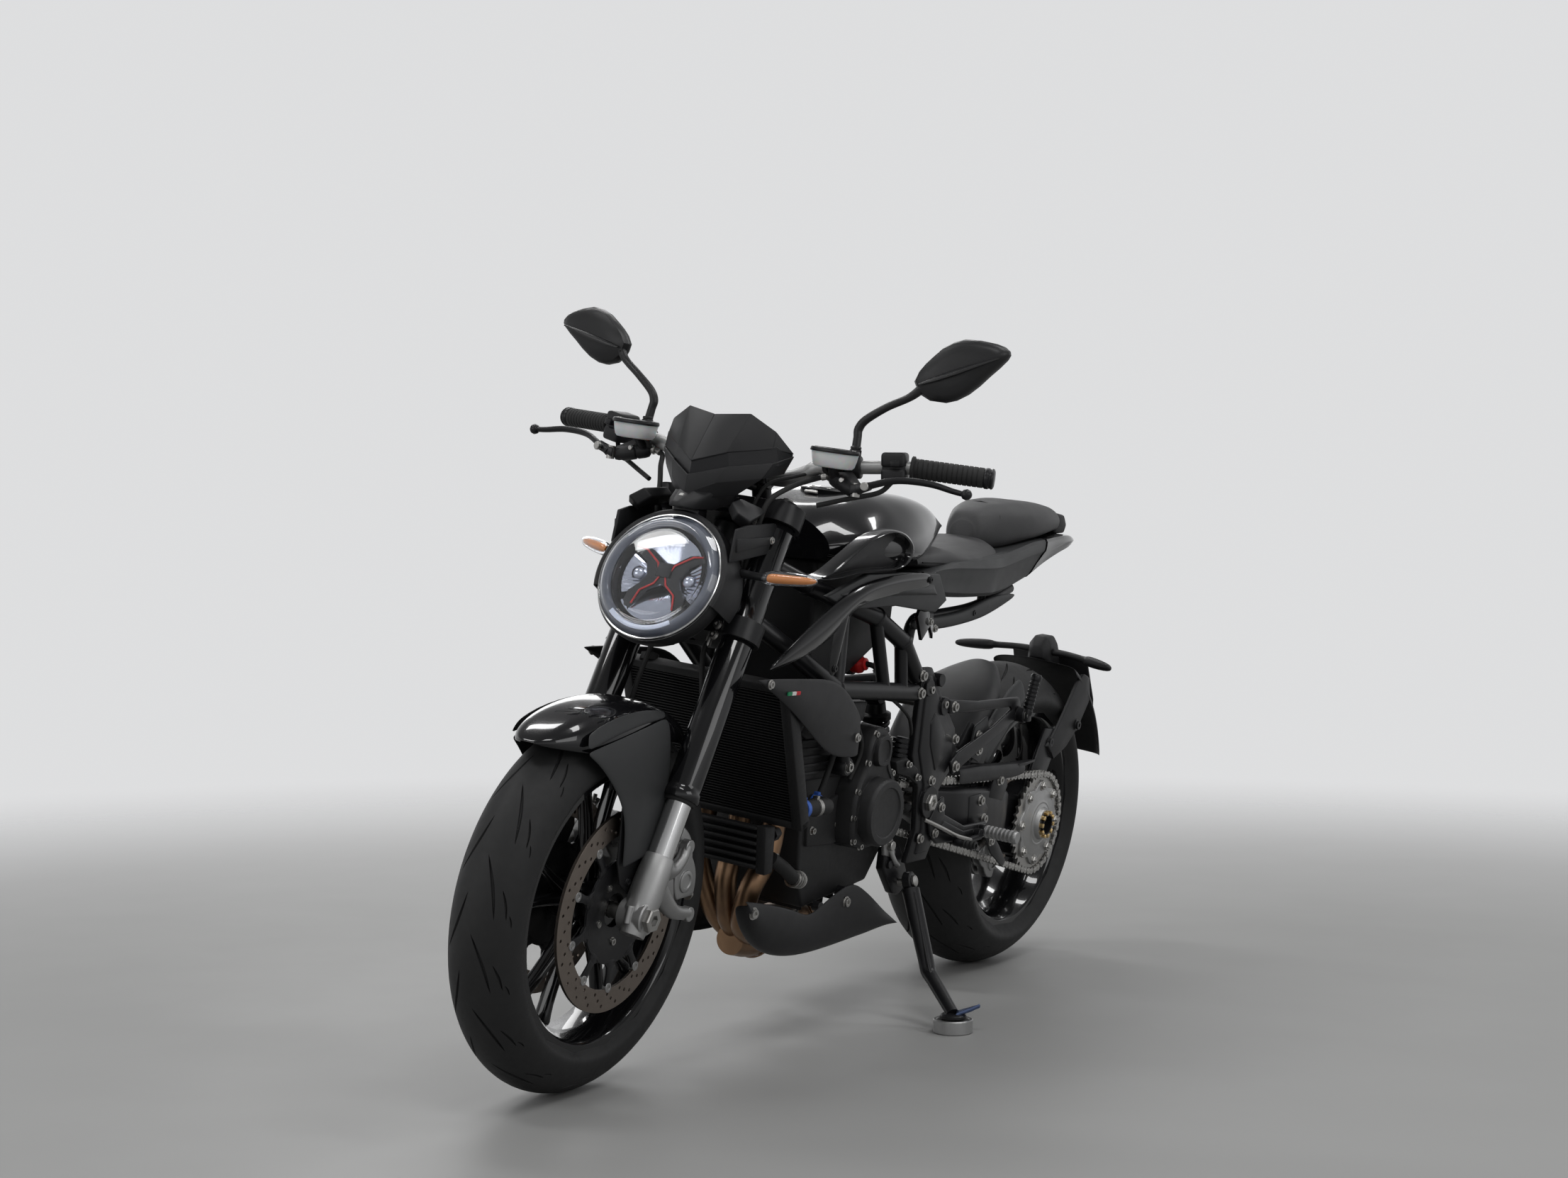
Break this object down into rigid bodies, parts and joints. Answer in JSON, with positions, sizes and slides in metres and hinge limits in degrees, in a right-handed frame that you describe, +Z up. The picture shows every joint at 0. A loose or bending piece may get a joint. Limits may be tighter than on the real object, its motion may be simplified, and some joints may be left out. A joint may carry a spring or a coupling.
{
  "type": "standard motorcycle",
  "caption": "Naked sport motorcycle with a trellis frame and single-sided swingarm, leaning on its side stand; wheels, steering, stand and filler cap move.",
  "frame": {"origin": "on the ground, under the centre of the leaning machine's footprint box", "axes": "+Z up, -Y the way the machine faces, +X towards the rider's left, the side it leans to"},
  "size_m": [0.8694, 2.0337, 1.2745],
  "materials": {
    "gloss_black": "gloss black lacquer",
    "matt_black": "matt moulded black",
    "black_metal": "satin black powder coat",
    "engine_grey": "dark grey casting paint",
    "cooler_black": "black cooler paint",
    "hose_rubber": "black rubber",
    "tyre_rubber": "black tyre rubber",
    "bare_steel": "bright steel",
    "disc_steel": "drilled brake steel",
    "cast_silver": "silver aluminium",
    "header_bronze": "heat-tinted steel",
    "seat_cover": "black seat cover",
    "clear_lens": "clear lens",
    "red_lens": "dark red lens",
    "milky_plastic": "milky fluid pot",
    "mirror_shell": "satin black shell"
  },
  "bodies": {
    "chassis": {"chain": "bare_steel", "trellis_frame": "black_metal", "frame_plates": "black_metal", "fuel_tank": "gloss_black", "tank_scoops": "matt_black", "engine_block": "engine_grey", "engine_covers": "engine_grey", "airbox": "matt_black", "radiator": "cooler_black", "radiator_shrouds": "matt_black", "coolant_hoses": "hose_rubber", "wing_struts": "gloss_black", "airbox_covers": "matt_black", "rider_seat": "seat_cover", "passenger_seat": "seat_cover", "tail_fairing": "gloss_black", "subframe": "black_metal", "tail_light": "red_lens", "exhaust_headers": "header_bronze", "silencer": "black_metal", "belly_pan": "matt_black", "swingarm": "black_metal", "rear_shock": "black_metal", "rear_caliper": "cast_silver", "rear_hugger": "matt_black", "plate_carrier": "matt_black", "rear_indicators": "matt_black", "rider_footrests": "black_metal", "passenger_pegs": "black_metal", "stand_bracket": "black_metal"},
    "steering": {"lower_clamp": "black_metal", "fork_tubes": "gloss_black", "fork_feet": "cast_silver", "front_axle": "bare_steel", "front_calipers": "cast_silver", "front_mudguard": "gloss_black", "handlebar": "cast_silver", "upper_clamp": "black_metal", "grips": "hose_rubber", "switchgear": "matt_black", "control_levers": "black_metal", "fluid_reservoirs": "milky_plastic", "mirrors": "mirror_shell", "headlight_lens": "clear_lens", "headlight": "matt_black", "flyscreen": "matt_black", "instrument": "matt_black", "front_indicators": "matt_black", "brake_hoses": "hose_rubber"},
    "front_wheel": {"front_rim": "gloss_black", "front_tyre": "tyre_rubber", "front_discs": "disc_steel"},
    "rear_wheel": {"rear_rim": "gloss_black", "rear_tyre": "tyre_rubber", "rear_disc": "disc_steel", "rear_sprocket": "bare_steel"},
    "side_stand": {"side_stand": "black_metal", "stand_puck": "cast_silver"},
    "filler_cap": {"fuel_cap": "cast_silver"}
  },
  "joints": [
    {"name": "steering_turn", "type": "hinge", "parent": "chassis", "child": "steering", "pos_m": [-0.04257, -0.44705, 0.81288], "axis": [0.1251, 0.4144, 0.9015], "range_deg": [-32.3, 27.7]},
    {"name": "front_wheel_spin", "type": "hinge", "parent": "steering", "child": "front_wheel", "pos_m": [-0.11284, -0.71704, 0.29755], "axis": [0.9874, 0.0366, -0.1538], "continuous": true},
    {"name": "rear_wheel_spin", "type": "hinge", "parent": "chassis", "child": "rear_wheel", "pos_m": [-0.11184, 0.68293, 0.31404], "axis": [0.9905, 0, -0.1374], "continuous": true},
    {"name": "side_stand_fold", "type": "hinge", "parent": "chassis", "child": "side_stand", "pos_m": [0.02491, 0.09895, 0.24439], "axis": [0.9864, 0.1153, 0.1173], "range_deg": [0, 98]},
    {"name": "filler_cap_hinge", "type": "hinge", "parent": "chassis", "child": "filler_cap", "pos_m": [-0.02319, -0.17229, 0.95263], "axis": [0.9905, 0, -0.1374], "range_deg": [0, 100]}
  ]
}
